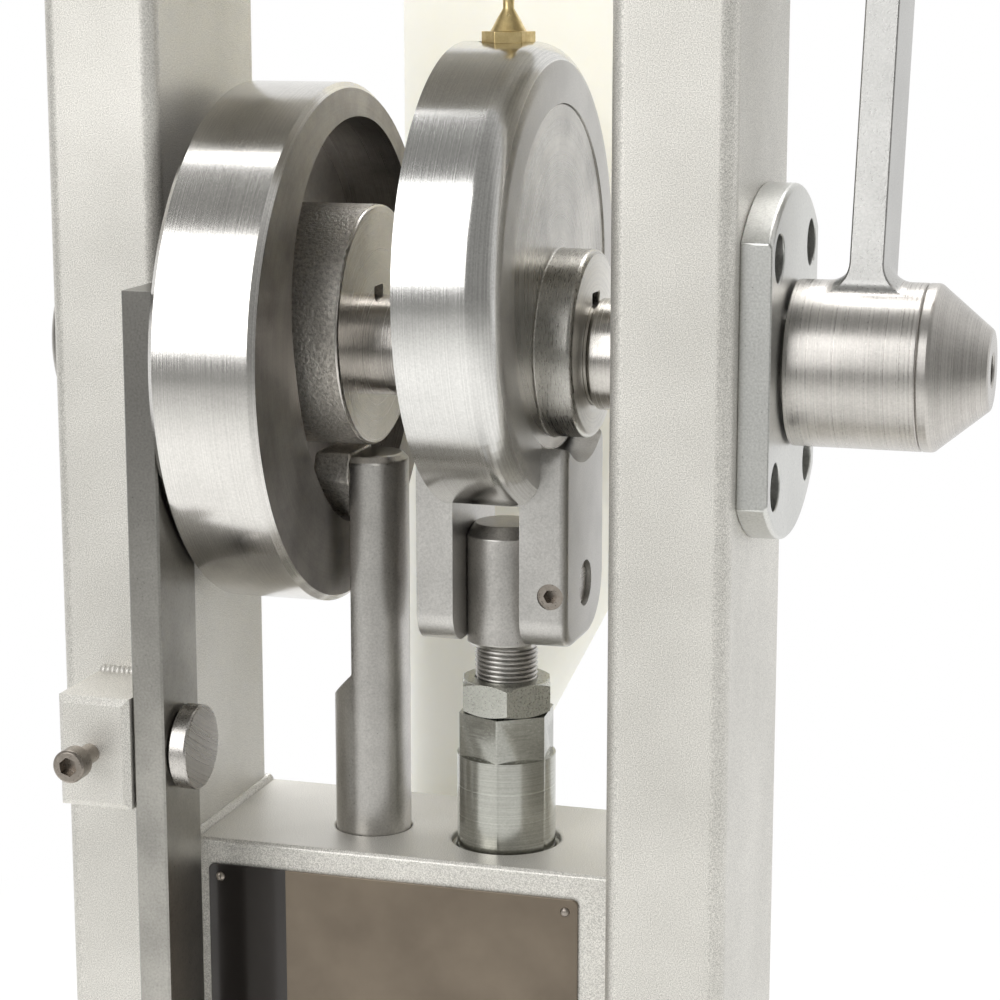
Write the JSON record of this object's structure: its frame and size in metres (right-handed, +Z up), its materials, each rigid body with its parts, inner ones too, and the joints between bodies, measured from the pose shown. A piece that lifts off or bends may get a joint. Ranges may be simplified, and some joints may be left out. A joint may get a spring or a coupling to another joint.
{
  "type": "tablet press",
  "caption": "Hand-cranked bench press that fills a die from a hopper and stamps powder into tablets, with an eccentric ram, a cam drum and a swinging feed lever.",
  "frame": {"origin": "middle of the four bench bolt holes, on the underside of the base plate, below the crossing of the camshaft with the plane midway between the columns", "axes": "+Z up along the columns, +X along the camshaft towards the crank, +Y to the back where the hopper stands"},
  "size_m": [0.3813, 0.306, 0.657],
  "materials": {
    "frame_paint": "satin",
    "zinc_steel": "satin",
    "brushed_hub": "satin",
    "turned_steel": "polished",
    "dark_steel": "satin",
    "drum_iron": "satin",
    "fastener": "satin",
    "key_steel": "satin",
    "tool_steel": "polished",
    "bronze": "satin",
    "brass": "satin",
    "adjuster_steel": "satin",
    "sheet_steel": "satin",
    "plate_dark": "satin",
    "bin_plastic": "matte",
    "spindle_steel": "satin",
    "grip_wood": "satin"
  },
  "bodies": {
    "frame": {"base_plate": "frame_paint", "column_left": "frame_paint", "column_right": "frame_paint", "top_plate": "frame_paint", "guide_block": "frame_paint", "ram_bush": "bronze", "data_plate": "plate_dark", "bearing_right": "zinc_steel", "bearing_left": "zinc_steel", "die_table": "frame_paint", "die": "tool_steel", "die_lock_screw": "fastener", "tablet_chute": "sheet_steel", "shoe_rail_left": "brass", "shoe_rail_right": "brass", "lever_bracket": "frame_paint", "lever_pivot": "dark_steel", "clamp_screw": "fastener", "hopper": "bin_plastic", "hopper_bracket": "frame_paint", "feed_tube": "sheet_steel"},
    "crank": {"camshaft": "turned_steel", "drum_key": "key_steel", "sheave_key": "key_steel", "crank_key": "key_steel", "cam_drum": "drum_iron", "eccentric_sheave": "turned_steel", "crank_arm": "brushed_hub", "hub_cap": "brushed_hub", "grip_spindle": "spindle_steel"},
    "grip": {"handle_grip": "grip_wood"},
    "strap": {"eccentric_strap": "turned_steel", "clevis_pin_left": "fastener", "clevis_pin_right": "fastener", "clevis_set_screw": "fastener", "oiler": "brass"},
    "ram": {"rod_end": "zinc_steel", "lock_nut": "zinc_steel", "ram": "turned_steel", "punch_screw": "fastener", "upper_punch": "tool_steel"},
    "lift": {"lift_rod": "zinc_steel", "cam_follower": "turned_steel", "lift_yoke": "adjuster_steel", "yoke_screw": "fastener", "lower_punch": "tool_steel"},
    "fill_ring": {"fill_adjuster": "adjuster_steel"},
    "eject_ring": {"eject_adjuster": "adjuster_steel"},
    "lever": {"feed_lever": "dark_steel", "roller_pin": "dark_steel", "foot_pin": "dark_steel"},
    "roller": {"lever_roller": "turned_steel"},
    "shoe": {"feed_shoe": "brass", "shoe_link": "dark_steel"}
  },
  "joints": [
    {"name": "crank_turn", "type": "hinge", "parent": "frame", "child": "crank", "pos_m": [0, 0, 0.455], "axis": [1, 0, 0], "range_deg": [-180, 0]},
    {"name": "grip_spin", "type": "hinge", "parent": "crank", "child": "grip", "pos_m": [0.19, 0.04274, 0.64013], "axis": [1, 0, 0], "continuous": true},
    {"name": "strap_swing", "type": "hinge", "parent": "crank", "child": "strap", "pos_m": [0.027, 0, 0.4775], "axis": [1, 0, 0], "range_deg": [0, 180]},
    {"name": "ram_slide", "type": "slide", "parent": "frame", "child": "ram", "axis": [0, 0, 1], "range_m": [-0.045, 0]},
    {"name": "lift_slide", "type": "slide", "parent": "frame", "child": "lift", "axis": [0, 0, 1], "range_m": [-0.012, 0]},
    {"name": "fill_ring_turn", "type": "hinge", "parent": "lift", "child": "fill_ring", "pos_m": [-0.0183, 0, 0.083], "axis": [0, 0, 1], "continuous": true},
    {"name": "eject_ring_turn", "type": "hinge", "parent": "lift", "child": "eject_ring", "pos_m": [-0.0183, 0, 0.051], "axis": [0, 0, 1], "continuous": true},
    {"name": "lever_swing", "type": "hinge", "parent": "frame", "child": "lever", "pos_m": [-0.0632, -0.0592, 0.3396], "axis": [1, 0, 0], "range_deg": [0, 5.34]},
    {"name": "roller_spin", "type": "hinge", "parent": "lever", "child": "roller", "pos_m": [-0.054, -0.0592, 0.463], "axis": [1, 0, 0], "continuous": true},
    {"name": "shoe_slide", "type": "slide", "parent": "frame", "child": "shoe", "axis": [0, 1, 0], "range_m": [0, 0.01823]}
  ],
  "couplings": [
    {"joint": "strap_swing", "follows": "crank_turn", "ratio": -1},
    {"joint": "ram_slide", "follows": "crank_turn", "m_per_rad": 0.014324},
    {"joint": "lift_slide", "follows": "crank_turn", "m_per_rad": 0.0038197},
    {"joint": "lever_swing", "follows": "crank_turn", "ratio": -0.029664},
    {"joint": "shoe_slide", "follows": "crank_turn", "m_per_rad": -0.0058025}
  ]
}
